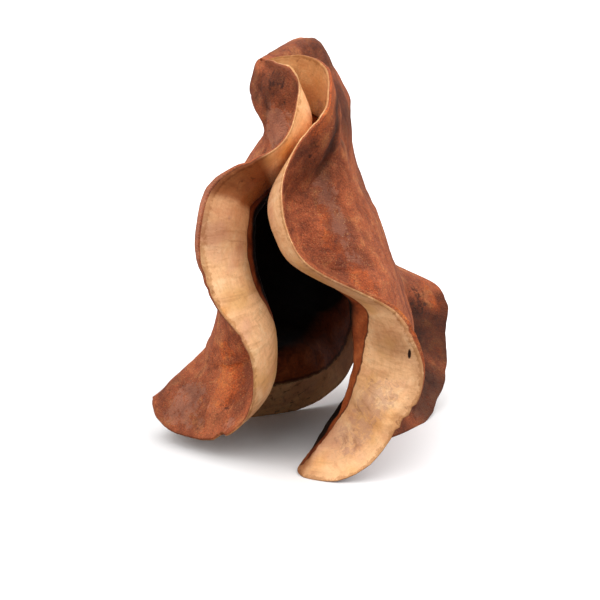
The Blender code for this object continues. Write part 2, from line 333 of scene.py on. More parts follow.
def valve_rings(side, turns):
    """Rings of the middle surface, crown to rim. Crest: middle + reach outward + aside. Rim:
    crest + margin along the flare. Bowl: straight from crown to crest, bent by its profile."""
    reach, aside, flare, bow = columns(MARGINS[side], turns)
    flare = np.radians(flare)[:, None]
    outward = outward_of(turns)
    sideways = np.array([1.0, 0.0, 0.0])
    middle = np.array([0.0, MIDDLE_Y, MIDDLE_Z])

    crest = middle + reach[:, None] * outward + aside[:, None] * sideways
    along = np.cos(flare) * outward + side * np.sin(flare) * sideways
    inward = np.sin(flare) * outward - side * np.cos(flare) * sideways
    rim = crest + MARGIN * along

    seam_reach, seam_aside, left_half, right_half = columns(SEAM, turns)
    half = (left_half if side < 0 else right_half)[:, None]
    seam = middle + seam_reach[:, None] * outward + seam_aside[:, None] * sideways
    lump_crest = seam - LUMP_CREST_DROP * outward + side * half * sideways
    lump_margin = seam - LUMP_MARGIN_DROP * outward + side * LUMP_MARGIN_SHARE * half * sideways
    crest += joint_share(turns, CREST_FADE) * (lump_crest - crest)
    rim += joint_share(turns, RIM_FADE) * (seam - rim)
    margin = 0.5 * (crest + rim) + bow[:, None] * inward
    margin += joint_share(turns, RIM_FADE) * (lump_margin - margin)

    crown = np.array([0.0, *CROWNS[side]])
    back_height, back_aside = np.array(BACKS[side], float).T
    rings = []
    for way_out, way_aside in BOWL:
        ring = crown + way_out * (crest - crown)
        back = open_spline(back_height, back_aside, ring[:, 2])
        ring[:, 0] = back + way_aside * (crest[:, 0] - back)
        rings.append(ring)
    return np.array(rings + [crest, margin, rim])


# %% [markdown]
# ## The grid of the fine surface
#
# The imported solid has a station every 4 degrees. The fine surface has a point about every half
# millimetre along the rims and every third of one across the margins, where the eye rests, and
# wider rings inside the bowls, which are smooth and dark. Finer grain is left to the materials.
#
# Much on the pod is a soft patch somewhere round a valve: a fold, a dent, a stain. So one
# function makes a smooth hill on the grid, and each kind of patch gets its own table of hills.

# %% The grid
STATIONS = 440
BOWL_STEPS = 24
MARGIN_STEPS = 26
TURNS = np.linspace(-180.0, 180.0, STATIONS, endpoint=False)
ACROSS = np.concatenate([np.linspace(0.0, CREST_RING, BOWL_STEPS + 1),
                         np.linspace(CREST_RING, 1.0, MARGIN_STEPS + 1)[1:]])
JOINED = joint_share(TURNS, RIM_FADE)[:, 0] > 0.999


def turns_from(turn):
    """Degrees from a turn to each station, the short way round."""
    return np.abs((TURNS - turn + 180.0) % 360.0 - 180.0)


def hill(height, turn, turn_span, across, across_span, top=1.0):
    """A height times an S curve that falls to 0 at a span of turn, times one that does at a
    span of way across; a top above 1 makes the middle flat."""
    off = np.abs(ACROSS - across)[:, None] / across_span
    return (height * smooth_step(top - top * turns_from(turn) / turn_span)
            * smooth_step(top - top * off))


def hills(table):
    """The sum of all hills of a table, whose last column is the height."""
    return sum((hill(height, *where) for *where, height in table),
               np.zeros((len(ACROSS), STATIONS)))


print(len(ACROSS), "rings of", STATIONS, "points on each skin")

# %% [markdown]
# ## Two skins and a rounded rim
#
# A sheet needs a wall. Blender's Solidify could give it one, but the wall here thins from the
# bowl to the rim, and the two valves have to close over each other at the stem end. So each
# skin is pushed out from the middle surface by half the wall, along its normal. Where the rims
# come together the normal at the rim turns from sideways to straight out, so that two walls
# become one ridge and never cross.

# %% Skins and rim
RIM_WALL = 0.9           # thickness of the wall at the rim
RIM_ROUND = 0.45         # how far the rim stands out past the lining, as a share of its thickness
RIM_STEPS = 5            # strips round the rim from the outer skin to the inner
RIDGE_START = 0.92       # the way across from which the joined skins run straight to the ridge
CALM_REACH = 0.035       # way across over which the bend at the crest is rounded off
CALM_FROM = (0.35, 0.55)     # ways across over which the rounding sets in
CALM_TO = (0.76, 0.92)   # ways across over which it fades again


def unit(vectors):
    return vectors / np.maximum(np.linalg.norm(vectors, axis=-1, keepdims=True), 1e-9)


def husk_normals(surface, side):
    """Normals towards the husk: the way round crossed with the way across."""
    round_way = np.roll(surface, -1, axis=1) - np.roll(surface, 1, axis=1)
    across_way = np.gradient(surface, axis=0)
    normals = unit(side * np.cross(round_way, across_way))
    normals[0] = unit(normals[1].mean(axis=0))
    return normals


def run_straight(skin, share):
    """Between RIDGE_START and the rim, move the skin towards a straight line by a share."""
    first = int(np.searchsorted(ACROSS, RIDGE_START))
    way = ((ACROSS[first:] - ACROSS[first]) / (1.0 - ACROSS[first]))[:, None, None]
    straight = skin[first] + way * (skin[-1] - skin[first])
    skin[first:] += share * (straight - skin[first:])


def calm_crease(surface):
    """Round off the bend at the crest: each ring between the bowl and the middle of the margin
    moves towards the mean of the rings within CALM_REACH of it, weighted by a bell curve."""
    apart = ACROSS[:, None] - ACROSS[None, :]
    weight = np.exp(-0.5 * (apart / CALM_REACH) ** 2) * np.gradient(ACROSS)[None, :]
    weight /= weight.sum(axis=1, keepdims=True)
    mean = np.tensordot(weight, surface, axes=(1, 0))
    share = ramp(ACROSS, *CALM_FROM) * ramp(ACROSS, *CALM_TO[::-1])
    return surface + share[:, None, None] * (mean - surface)


# Folds of the left valve's whole wall: turn and its span in degrees, way across and its span,
# and how far the wall moves towards its husk side, in millimetres.
LEFT_FOLDS = [(45, 7, 0.95, 0.35, -0.55), (32, 9, 0.95, 0.35, 0.7), (10, 16, 0.95, 0.3, -0.2)]


def make_skins():
    """Outer and inner skin of each valve, the rim's outward direction, and how far the rims
    have opened at each station: 0 where they are one, 1 where a whole wall fits between."""
    middles = {side: calm_crease(open_spline(RINGS, valve_rings(side, TURNS), ACROSS))
               for side in (LEFT, RIGHT)}
    middles[LEFT] = middles[LEFT] + hills(LEFT_FOLDS)[..., None] * husk_normals(middles[LEFT], LEFT)
    normals = {side: husk_normals(middles[side], side) for side in (LEFT, RIGHT)}
    gap = np.linalg.norm(middles[RIGHT][-1] - middles[LEFT][-1], axis=1)
    opened = np.clip(gap / RIM_WALL, 0.0, 1.0)[:, None]
    half_wall = 0.5 * np.interp(ACROSS, WALL_RINGS, WALL)[:, None, None]
    outer, inner, tangent = {}, {}, {}
    for side in (LEFT, RIGHT):
        turned = np.sqrt(1.0 - opened**2)
        normals[side][-1] = unit(opened * normals[side][-1] + turned * outward_of(TURNS))
        outer[side] = middles[side] + half_wall * normals[side]
        inner[side] = middles[side] - half_wall * normals[side]
        run_straight(outer[side], 1.0 - opened)
        run_straight(inner[side], 1.0 - opened)
        tangent[side] = unit(middles[side][-1] - middles[side][-2])
    return outer, inner, tangent, opened, normals


outer, inner, rim_way, opened, normals = make_skins()
print("rims stand open at", int((opened > 0.99).sum()), "of", STATIONS, "stations")

# %% [markdown]
# ## Noise for natural unevenness
#
# Wood that dried in the open is uneven at every scale. Blender has noise in its modifiers, but
# one small function keeps it in our hands: random heights sit at the corners of a cubic
# lattice, and a point between them gets a smooth blend of the eight corners round it. Several
# layers, each half as large and half as strong, give a natural mixture.

# %% Noise
def lattice_value(cell, seed):
    """A repeatable random number from -1 to 1 for each corner of the lattice, made by mixing
    the bits of its three whole-number places."""
    mixed = (cell[..., 0].astype(np.uint32) * np.uint32(374761393)
             + cell[..., 1].astype(np.uint32) * np.uint32(668265263)
             + cell[..., 2].astype(np.uint32) * np.uint32(2246822519)
             + np.uint32(seed) * np.uint32(3266489917))
    mixed = (mixed ^ (mixed >> np.uint32(13))) * np.uint32(1274126177)
    mixed = mixed ^ (mixed >> np.uint32(16))
    return mixed.astype(float) / 2**31 - 1.0


def noise(points, size, seed):
    """Smooth random height from -1 to 1: the eight lattice corners weighted by S curves."""
    scaled = points / size
    cell = np.floor(scaled).astype(np.int64)
    fade = smooth_step(scaled - cell)
    total = np.zeros(points.shape[:-1])
    for corner in np.ndindex(2, 2, 2):
        weight = np.where(np.array(corner) == 1, fade, 1.0 - fade).prod(axis=-1)
        total += weight * lattice_value(cell + np.array(corner), seed)
    return total


def layered_noise(points, size, layers, seed):
    """Noise of the given size plus finer layers, each half as large and half as strong."""
    return sum(noise(points, size / 2**i, seed + 31 * i) / 2**i for i in range(layers))


# %% [markdown]
# ## Chipped and crumbling rims
#
# The rim is the thinnest wood, and it wears first. It wanders by a tenth of a millimetre or two
# everywhere, and a few chips have broken out. The wear pulls the last rings of both skins back
# along the margin, so the rounded rim follows it.

# %% Rim wear
WEAR_START = 0.86        # the way across at which the pull begins
RIM_WANDER = (0.16, 2.4, 3)      # depth in millimetres; size and layers of its noise
WANDER_SEED = 11
# Chips of each valve: the turn, how deep in millimetres, and how many degrees wide to a side.
CHIPS = {LEFT: [
    (40, 0.3, 1.6), (6.5, 0.3, 3), (2, 0.15, 1.6), (-13.5, 0.25, 1.6), (-52, 0.45, 2),
    (-60, 0.6, 2.4), (-88, 0.3, 2.5), (170, 0.5, 2.4), (-140, 0.35, 2)
], RIGHT: [
    (51, 0.3, 1.4), (47, 0.25, 1.2), (-37, 0.35, 1.2), (-39.5, 0.45, 1.4), (-42, 0.3, 1),
    (-12, 0.25, 1.4), (-124, 0.17, 4.5), (175, 0.4, 2.6), (-150, 0.14, 3.5)
]}


def wear_rim(side):
    """Depth of wear at each station: a wandering line plus one rounded bite for each chip."""
    depth, *kind = RIM_WANDER
    depth = depth * layered_noise(outer[side][-1], *kind, WANDER_SEED + side)
    for turn, bite, span in CHIPS[side]:
        depth += bite * smooth_step(1.0 - turns_from(turn) / span)
    pull = ramp(ACROSS, WEAR_START, 1.0)[:, None, None]
    shift = pull * (opened * depth[:, None]) * rim_way[side]
    outer[side] -= shift
    inner[side] -= shift
    return depth


wear = {side: wear_rim(side) for side in (LEFT, RIGHT)}
print("deepest rim wear, mm:", round(float(max(depth.max() for depth in wear.values())), 2))

# %% [markdown]
# ## Relief of the husk and the lining
#
# The husk swells and sinks gently, is crossed by fine wrinkles and has small pits. The lining
# is smoother: faint ripples, and a low step where the pale layer of the margin ends and the
# rough dark wood of the seed chamber begins. Both are pushed out along the normals as real
# geometry, because they show in the outline and in grazing light. Single dents are listed by
# their place in millimetres from the pod's origin.

# %% Relief
# Unevenness: its height in millimetres, and the size, layers and seed of its noise.
SWELL = (0.16, 5.0, 2, 1)
WRINKLE = (0.10, 1.9, 2, 2)
GRAIN = (0.035, 0.8, 2, 3)
RIPPLE = (0.05, 2.6, 3, 4)
ROUGH = (0.12, 1.6, 2, 5)
BORDER_JOG = (0.004, 2.2, 3, 71)         # of the way across, not millimetres
WRINKLE_START = 0.55     # how near to a zero of its noise, from 0 to 1, a wrinkle begins
WRINKLE_STRETCH = [1.0, 1.0, 0.6]
LINING_STEP = 0.22       # millimetres from the pale layer down to the bare wood
STEP_WIDTH = 0.02        # of the way across
CHAMBER_START = 0.3      # the way across from which the seed chamber's floor lies a step lower
CALM_START = 0.95        # the way across from which the relief calms down towards the rim
CALM_SHARE = 0.67        # the share of it that is gone at the rim
JOINT_CALM = 0.75        # the way across from which the lining is smooth where the valves are one

# Where the pale lining ends, as the way across, at turns round each valve.
LINING_EDGES = {LEFT: [
    (-180, 0.74), (-150, 0.9), (-125, 0.87), (-104, 0.83), (-80, 0.8), (-30, 0.8), (0, 0.8),
    (30, 0.79), (50, 0.78), (80, 0.8), (112, 0.86), (140, 0.78)
], RIGHT: [
    (-180, 0.72), (-130, 0.74), (-84, 0.84), (-70, 0.93), (-61, 0.97), (-57, 0.96), (-55.4, 0.88),
    (-53, 0.8), (-47, 0.78), (-40, 0.77), (-30, 0.77), (-20, 0.8), (-10, 0.84), (0, 0.86),
    (20, 0.82), (50, 0.74), (80, 0.8), (112, 0.86), (140, 0.78)
]}

# Dents in the husk: x, y, z, radius, depth.
DENTS = [
    (-4.1, -9.9, 52.2, 2.4, 0.1), (-3, -9, 53.4, 0.5, 0.3), (-9.9, -11.3, 7.7, 1, 0.45),
    (-9.4, -11.7, 6.2, 0.8, 0.25), (1.3, -17.1, 43.5, 1.6, 0.2), (3.9, -12.4, 35.1, 2, 0.2),
    (16.6, 16.8, 12.8, 2.4, 0.25), (-16, -5, 5.2, 1.5, 0.2)]

# Lips and hollows of the husk that follow a valve: turn and its span in degrees, way across
# and its span, height in millimetres.
LIPS = {LEFT: [
    (22, 24, 1, 0.2, 0.35), (80, 12, 0.8, 0.16, -0.35), (54, 13, 0.92, 0.26, -0.6),
    (-64, 4.5, 0.84, 0.26, 0.4), (-57.5, 5, 0.84, 0.24, -0.25)
], RIGHT: [
    (56, 14, 0.98, 0.06, 0.25), (61, 7, 0.89, 0.06, -0.4), (56.5, 6, 0.81, 0.07, -0.5),
    (52.5, 6, 0.73, 0.08, -0.55), (48, 7, 0.64, 0.09, -0.5), (40, 10, 0.55, 0.09, -0.45),
    (27, 12, 0.51, 0.09, -0.4), (12, 12, 0.51, 0.09, -0.25)
]}


def uneven(points, height, size, layers, seed):
    return height * layered_noise(points, size, layers, seed)


def lining_edge(side):
    """The way across at which the pale lining ends: a smooth line with small jogs."""
    edge, = columns(LINING_EDGES[side], TURNS)
    return edge + uneven(inner[side][-1], *BORDER_JOG)


def from_origin(points):
    return points - np.array([ORIGIN_X, ORIGIN_Y, 0.0])


def husk_relief(points):
    """Height of the husk: slow swells, less the folds where a noise crosses zero, plus grain,
    less a rounded hollow for each dent."""
    depth, *kind = WRINKLE
    fold = 1.0 - np.abs(layered_noise(points * WRINKLE_STRETCH, *kind))
    wrinkle = -depth * ramp(fold, WRINKLE_START, 1.0)
    height = uneven(points, *SWELL) + wrinkle + uneven(points, *GRAIN)
    places = from_origin(points)
    for x, y, z, radius, depth in DENTS:
        distance = np.linalg.norm(places - np.array([x, y, z]), axis=-1)
        height -= depth * smooth_step(1.0 - distance / radius)
    return height


def lining_relief(points, side):
    """Height of the lining: ripples that run across the margin, a step down at the edge of the
    pale layer, and rougher wood inside it."""
    inside = smooth_step((lining_edge(side) - ACROSS[:, None]) / STEP_WIDTH + 0.5)
    step = LINING_STEP * (ACROSS[:, None] > CHAMBER_START)
    return uneven(points, *RIPPLE) - inside * (step - uneven(points, *ROUGH))


kept_relief = 1.0 - CALM_SHARE * ramp(ACROSS[:, None], CALM_START, 1.0)
relief = {}
for side in (LEFT, RIGHT):
    relief[side, "outer"] = husk_relief(outer[side]) * kept_relief + hills(LIPS[side])
    relief[side, "inner"] = lining_relief(inner[side], side) * kept_relief
    relief[side, "inner"] *= 1.0 - (1.0 - opened[:, 0]) * (ACROSS[:, None] > JOINT_CALM)
for side in (LEFT, RIGHT):
    outer[side] += relief[side, "outer"][..., None] * normals[side]
    inner[side] -= relief[side, "inner"][..., None] * normals[side]
print("husk relief, mm:", round(float(np.ptp(relief[LEFT, "outer"])), 2))

# %% [markdown]
# ## The edge of the rim
#
# The lining runs on flat to the very edge, and the husk is worn down to meet it there, so from
# most sides the edge is as thin as a blade. At the front left the husk has kept its thickness and
# stands out past the lining, and shows as a band beside it. So each edge has a short table of
# its own, with how thick the husk still is and how far it leads the lining. The edge itself is a
# quarter of an ellipse on the husk's side, and one last flat strip of lining behind it.

# %% The edge of the rim
EDGE_START = 0.88        # the way across at which the husk begins to thin
THIN_WALL = 0.33         # millimetres
HUSK_SHARE = 0.3         # of the lead: the husk moves out by this share, the lining in by the rest

# Columns: turn, thickness of the husk's edge, its lead past the lining.
EDGES = {LEFT: [
    (-180, 0.4, 0), (-30, 0.4, 0), (-8, 0.55, 0.1), (6, 0.9, 0.55), (14, 0.9, 0.9), (32, 0.9, 1),
    (38, 0.7, 0.5), (43, 0.4, 0), (58, 0.4, 0), (64, 0.35, -0.5), (70, 0.35, -0.5), (76, 0.4, 0),
    (180, 0.4, 0)
], RIGHT: [
    (-180, 0.4, 0), (-60, 0.4, 0), (-44, 0.4, 0), (-30, 0.6, 0.4), (-15, 0.8, 0.8),
    (-4, 0.7, 0.6), (12, 0.4, 0.1), (20, 0.35, 0), (46, 0.4, 0.1), (54, 0.6, 0.25),
    (68, 0.6, 0.25), (78, 0.4, 0), (180, 0.4, 0)
]}


def edge_values(side):
    """Thickness and lead at each station, straight between the table's rows."""
    turns, *values = np.array(EDGES[side], float).T
    return [np.interp(TURNS, turns, column)[:, None] for column in values]


def thin_edge(side):
    """Over the last of the way across, an S curve moves the husk from the wall's thickness to the
    edge's, and shears the two skins apart along the margin by the lead. No wall of the open
    margin gets thinner than THIN_WALL."""
    thickness, lead = edge_values(side)
    share = ramp(ACROSS, EDGE_START, 1.0)[:, None, None] * opened
    wall = ((outer[side] - inner[side]) * normals[side]).sum(axis=-1, keepdims=True)
    wanted = np.maximum(wall + share * (thickness - wall), THIN_WALL)
    outer[side] += opened * (wanted - wall) * normals[side]
    outer[side] += share * HUSK_SHARE * lead * rim_way[side]
    inner[side] -= share * (1.0 - HUSK_SHARE) * lead * rim_way[side]


def round_rim(side):
    """Rows of points from the outer skin's edge to the inner's: a quarter ellipse whose tip lies
    a share of the thickness beyond the inner edge along the margin."""
    thickness, lead = edge_values(side)
    quarter = np.linspace(0.0, 0.5 * np.pi, RIM_STEPS)[1:, None, None]
    start, end = outer[side][-1], inner[side][-1]
    rows = end + np.cos(quarter) * (start - end)
    tip = RIM_ROUND * thickness * np.clip(1.0 - lead, 0.1, 1.0)
    return rows + opened * tip * np.sin(quarter) * rim_way[side]


for side in (LEFT, RIGHT):
    thin_edge(side)
rim_rows = {side: round_rim(side) for side in (LEFT, RIGHT)}
print("rim rounded with", RIM_STEPS, "strips")

# %% [markdown]
# ## One closed mesh
#
# The six grids of points (two skins and a rim for each valve) share their edges, so the pod is
# one closed skin, as it has to be to be printed or measured. Every face is one square of a
# grid, and whole arrays of corners are made by shifting the grid of point numbers by one.
# Along the joint, the left valve's edge points serve the right valve too.

# %% Points and faces
SKINS = [(LEFT, "outer"), (LEFT, "inner"), (RIGHT, "outer"), (RIGHT, "inner")]
HUSK, LINING, RIM = range(3)
RIM_FINISHES = [HUSK, HUSK, HUSK, LINING, LINING]    # strips from the husk to the lining
CHIP_FINISHES = [RIM, RIM, RIM, RIM, LINING]         # the same where a chip broke out
CHIP_DEPTH = 0.44        # wear from which the edge counts as a chip, in millimetres


def number_points():
    """Point numbers of each skin and rim, and all points in one list."""
    grids = {(side, name): (outer if name == "outer" else inner)[side] for side, name in SKINS}
    grids.update({(side, "rim"): rim_rows[side] for side in (LEFT, RIGHT)})
    numbers, count = {}, 0
    for key, grid in grids.items():
        numbers[key] = count + np.arange(grid.shape[0] * STATIONS).reshape(-1, STATIONS)
        count += numbers[key].size
    for key in SKINS:
        numbers[key][0] = numbers[key][0, 0]
    for name, rows in (("outer", -1), ("inner", -1), ("rim", slice(None))):
        numbers[RIGHT, name][rows, JOINED] = numbers[LEFT, name][rows, JOINED]
    for side in (LEFT, RIGHT):
        numbers[side, "rim"] = np.vstack([numbers[side, "outer"][-1], numbers[side, "rim"],
                                          numbers[side, "inner"][-1]])
    return numbers, np.concatenate([grid.reshape(-1, 3) for grid in grids.values()])


def squares(grid):
    """Four corners of every square between neighbouring rows and stations."""
    after = np.roll(grid, -1, axis=1)
    return np.stack([grid[:-1], grid[1:], after[1:], after[:-1]], axis=-1)


def all_squares():
    """Corners and material of every square, turned so that its face points outwards."""
    corners, finish = [], []
    part_way = ~(JOINED & np.roll(JOINED, -1))
    for side in (LEFT, RIGHT):
        for name, material in (("outer", HUSK), ("inner", LINING), ("rim", RIM)):
            found = squares(numbers[side, name])
            material = np.full(found.shape[:2], material)
            if name == "rim":
                material = np.where(wear[side] > CHIP_DEPTH, np.array(CHIP_FINISHES)[:, None],
                                    np.array(RIM_FINISHES)[:, None])[:, part_way]
                found = found[:, part_way]
            found = found.reshape(-1, 4)
            corners.append(found[:, ::-1] if (name == "inner") == (side == RIGHT) else found)
            finish.append(material.ravel())
    return np.concatenate(corners), np.concatenate(finish)


numbers, all_points = number_points()
corners, finishes = all_squares()
print(len(all_points), "points and", len(corners), "squares")

# %% [markdown]
# ## What the materials need to know
#
# A colour that follows the wood has to know where it is on the wood. Six values are stored
# with every point. "across" is the way from the crown to the rim. "grain" is a place on a
# cylinder unrolled from the margin, in millimetres, so a fibre can follow the rim all the way
# round without a seam. "relief" says how high the surface stands. "lined" counts the
# millimetres from the border of the pale lining, towards the rim. "stain" holds three marks:
# soot for dark patches and partly for painted shade, ember for orange ones and ash for the grey
# bloom. A fourth and softer value is painted shade: it darkens folds, the undersides of lobes
# and sheltered wood, where shade falls.
#
# Marks that lie like a spot are listed by their place in millimetres. Marks that follow a fold
# or a rim are listed by turn and way across, so that they stay on it.

# %% Values for the materials
GRAIN_RADIUS = 22.0      # millimetres from the pod's middle to the middle of the margin
ACROSS_LENGTH = 33.3     # millimetres of margin for the whole way across
SPOT_RAGGED = (0.45, 1.6, 3, 91)     # how a noise pushes the edge of a spot in or out
SPOT_REACH = 1.3         # where a spot ends, in radii
LINING_ROWS = 2          # last rows of the rim, which take the lining's marks
# How much narrower the strip of bare wood is than the plain measure: turns and factors.
BARE_SQUEEZE = {LEFT: ((-160, -140, -95, -80), (1.8, 0.45, 0.45, 1.8)), RIGHT: ((0,), (1.0,))}
BAND_TOP = 1.5           # above 1, so that the middle of a band is even
# Kinds of mark. Soot is partly a real dark stain and partly painted shade; the fourth kind is painted
# shade only.
SOOT_AND_SHADE, EMBER, ASH, PAINTED_SHADE = range(4)

# Spots on the husk and on the lining: x, y, z, radius, kind, strength. The soft shade spots are
# painted shade, and so is the soot on the left valve's top lobe, behind the right valve's lip, on
# its back lobe, on the right valve's upper inner face behind the left valve's top lobe and low on
# the left valve's back inner margin; the other soot spots are dark patches of the wood.
HUSK_SPOTS = [
    (-3.9, -9.6, 51.4, 4.8, SOOT_AND_SHADE, 0.55), (-3.9, -9.8, 51, 4.6, PAINTED_SHADE, 0.8),
    (-5.6, -7.2, 52.6, 0.7, SOOT_AND_SHADE, 1), (-5.2, -9.9, 50.4, 0.8, EMBER, 0.8),
    (-3.4, -10.3, 44.7, 3.2, ASH, 0.45), (1.8, -15.9, 42.6, 4.2, SOOT_AND_SHADE, 0.5),
    (1, -15, 40.6, 4.6, PAINTED_SHADE, 0.7), (2.6, -12.6, 37.8, 2, EMBER, 0.4),
    (3.4, -14, 33.8, 3, EMBER, 0.7), (5.2, -14.8, 29.6, 3.2, EMBER, 0.6),
    (7.9, -15.5, 25.6, 3.6, EMBER, 0.9), (3.4, -17.7, 47.9, 1.8, EMBER, 0.8),
    (2.3, -13.7, 40.9, 1.6, ASH, 0.6), (3.3, -12.6, 37.5, 1.6, ASH, 0.7),
    (4.1, -12.3, 34.9, 1.7, ASH, 0.8), (5.9, -12.9, 31, 1.7, ASH, 0.7),
    (7.8, -13.2, 27.6, 1.6, ASH, 0.5), (15.9, 16.8, 14.3, 4.2, SOOT_AND_SHADE, 0.6),
    (15.6, 14, 9.5, 4, SOOT_AND_SHADE, 0.4), (15, 17.2, 12, 3, ASH, 0.9),
    (17.6, 20.1, 16.3, 2.4, EMBER, 0.8), (19.7, 19, 13.4, 2, EMBER, 0.9),
    (19.6, 15.2, 7.9, 1.8, EMBER, 0.8), (16.8, 8, 3.5, 3.4, ASH, 0.5),
    (-10.2, -13.7, 5.6, 1.8, ASH, 0.8), (-8.2, -14.8, 7.3, 1.6, ASH, 0.4),
    (-15.8, -5.4, 6.3, 3, ASH, 0.7), (-13.8, -9.7, 4.6, 2.4, ASH, 0.6),
    (-18.6, -3.7, 4.9, 2, EMBER, 0.7), (-16.8, -6.6, 3.4, 1.8, EMBER, 0.9),
    (-9.3, -9.5, 12.7, 1.6, EMBER, 0.6), (-8.2, -11.3, 10.1, 1.5, EMBER, 0.5),
    (-10.1, -12, 7.4, 1, SOOT_AND_SHADE, 0.9), (4, -11, 52.4, 2.4, SOOT_AND_SHADE, 0.7),
    (3.6, 3, 52.6, 2.6, SOOT_AND_SHADE, 0.5), (-0.7, -3.3, 54, 2.6, EMBER, 0.6),
    (-9, 14, 33, 4, EMBER, 0.4), (8, 12, 42, 3.5, ASH, 0.5), (-12, 6, 20, 4.5, EMBER, 0.4)]
LINING_SPOTS = [
    (-2.5, -18.6, 43.9, 2.2, EMBER, 0.9), (-4.3, -20.1, 42.6, 2.2, EMBER, 0.7),
    (-7, -20, 39.6, 2.6, SOOT_AND_SHADE, 0.45), (-4.2, -17.5, 40, 2.6, SOOT_AND_SHADE, 0.5),
    (-0.2, -8.2, 52.2, 4.5, SOOT_AND_SHADE, 0.35), (2, -9.6, 47.2, 2.6, ASH, 0.7),
    (0.2, -8.6, 50, 4.5, EMBER, 0.5), (11.5, -21.5, 9.2, 1.6, EMBER, 0.5),
    (9.5, -20.9, 7.7, 1.4, EMBER, 0.5), (8.5, -19.6, 12.2, 1.7, ASH, 0.8),
    (-9.4, -22.2, 35.9, 2.2, ASH, 0.35), (-10.3, -24.7, 24.1, 0.9, EMBER, 0.9),
    (-8.5, -24.3, 21.8, 0.9, SOOT_AND_SHADE, 0.5), (13.5, -22, 12, 0.8, SOOT_AND_SHADE, 0.5),
    (13.2, -22, 10.6, 0.6, SOOT_AND_SHADE, 0.6), (-1.9, 7.8, 2.3, 7, SOOT_AND_SHADE, 0.5),
    (1.9, -19.3, 2.5, 1.6, EMBER, 0.7)]

# Marks along folds and rims: turn and its span in degrees, way across and its span, kind,
# strength. The soft shade rows are painted shade: under the left valve's upper lobe, in the
# crease behind the right valve's lip, and on the sheltered back lobes and inner margins.
BANDS = {(LEFT, "outer"): [
    (70, 8, 0.66, 0.14, EMBER, 0.5), (66, 9, 0.72, 0.2, ASH, 0.9),
    (73, 10, 0.95, 0.16, PAINTED_SHADE, 0.4), (92, 12, 0.92, 0.24, PAINTED_SHADE, 0.45),
    (-78, 14, 0.9, 0.22, PAINTED_SHADE, 0.25), (-62, 7, 0.74, 0.22, EMBER, 0.9),
    (-58, 6, 0.52, 0.1, EMBER, 0.8), (-76, 10, 0.88, 0.16, ASH, 0.8),
    (20, 26, 0.98, 0.1, ASH, 0.95)
], (LEFT, "inner"): [
    (39.5, 4.6, 0.93, 0.3, PAINTED_SHADE, 1), (35, 8, 0.94, 0.3, PAINTED_SHADE, 0.95),
    (26, 17, 0.92, 0.3, PAINTED_SHADE, 0.55), (35, 10, 0.82, 0.08, PAINTED_SHADE, 1),
    (22, 14, 0.8, 0.1, PAINTED_SHADE, 0.55), (8, 18, 0.8, 0.06, PAINTED_SHADE, 0.4),
    (50, 8, 0.97, 0.12, EMBER, 0.25), (-106, 18, 0.94, 0.24, PAINTED_SHADE, 0.15),
    (-112, 30, 0.96, 0.2, EMBER, 0.2), (-136, 18, 0.9, 0.3, PAINTED_SHADE, 0.7),
    (2, 12, 1, 0.03, SOOT_AND_SHADE, 0.4), (60, 6, 0.99, 0.04, EMBER, 0.15),
    (-160, 40, 0.85, 0.2, PAINTED_SHADE, 0.4)
], (RIGHT, "outer"): [
    (-14, 18, 0.93, 0.04, PAINTED_SHADE, 0.8), (-14, 20, 1, 0.06, EMBER, 0.6),
    (104, 18, 0.84, 0.26, PAINTED_SHADE, 0.75), (92, 10, 0.92, 0.24, PAINTED_SHADE, 0.45),
    (94, 14, 0.7, 0.14, PAINTED_SHADE, 0.6), (57, 14, 0.99, 0.07, EMBER, 1),
    (61, 6, 0.91, 0.05, PAINTED_SHADE, 0.9), (57, 5, 0.86, 0.07, PAINTED_SHADE, 0.9),
    (55, 5, 0.79, 0.07, PAINTED_SHADE, 0.9), (52, 5, 0.72, 0.07, PAINTED_SHADE, 0.8),
    (99, 22, 0.5, 0.16, PAINTED_SHADE, 0.75), (66, 7, 0.64, 0.09, PAINTED_SHADE, 0.7),
    (49, 6, 0.64, 0.06, ASH, 0.9), (43, 8, 0.56, 0.06, ASH, 0.9), (30, 12, 0.51, 0.06, ASH, 0.9),
    (14, 12, 0.51, 0.05, ASH, 0.7), (36, 9, 0.57, 0.05, EMBER, 0.8),
    (18, 12, 0.57, 0.06, EMBER, 0.8), (2, 8, 0.55, 0.08, EMBER, 0.8),
    (-136, 16, 0.92, 0.22, PAINTED_SHADE, 1), (-147, 8, 0.98, 0.06, PAINTED_SHADE, 0.8),
    (-112, 20, 0.9, 0.26, PAINTED_SHADE, 0.95), (-154, 12, 0.86, 0.18, PAINTED_SHADE, 0.35),
    (-112, 18, 0.94, 0.22, ASH, 0.7), (-88, 12, 0.9, 0.26, PAINTED_SHADE, 0.7),
    (50, 12, 0.84, 0.16, PAINTED_SHADE, 0.35)
], (RIGHT, "inner"): [
    (-50, 16, 0.82, 0.07, PAINTED_SHADE, 0.4), (-42, 15, 0.87, 0.1, ASH, 0.75),
    (-46, 10, 0.88, 0.08, PAINTED_SHADE, 0.3), (-57, 3, 0.96, 0.14, PAINTED_SHADE, 0.8),
    (-34, 14, 1, 0.05, PAINTED_SHADE, 0.3), (-36, 10, 1, 0.04, SOOT_AND_SHADE, 0.45), (-12, 14, 1, 0.03, SOOT_AND_SHADE, 0.4),
    (-57, 6, 1, 0.05, PAINTED_SHADE, 0.45), (76, 14, 0.94, 0.3, EMBER, 0.55),
    (76, 12, 0.96, 0.3, PAINTED_SHADE, 0.45), (-16, 10, 0.9, 0.12, PAINTED_SHADE, 0.35)
]}


def band_stains(key):
    """Four strengths over one skin: the strongest hill of each kind, all with flat middles."""
    found = np.zeros((len(ACROSS), STATIONS, 4))
    for *where, kind, strength in BANDS[key]:
        found[..., kind] = np.maximum(found[..., kind], hill(strength, *where, top=BAND_TOP))
    return found.reshape(-1, 4)


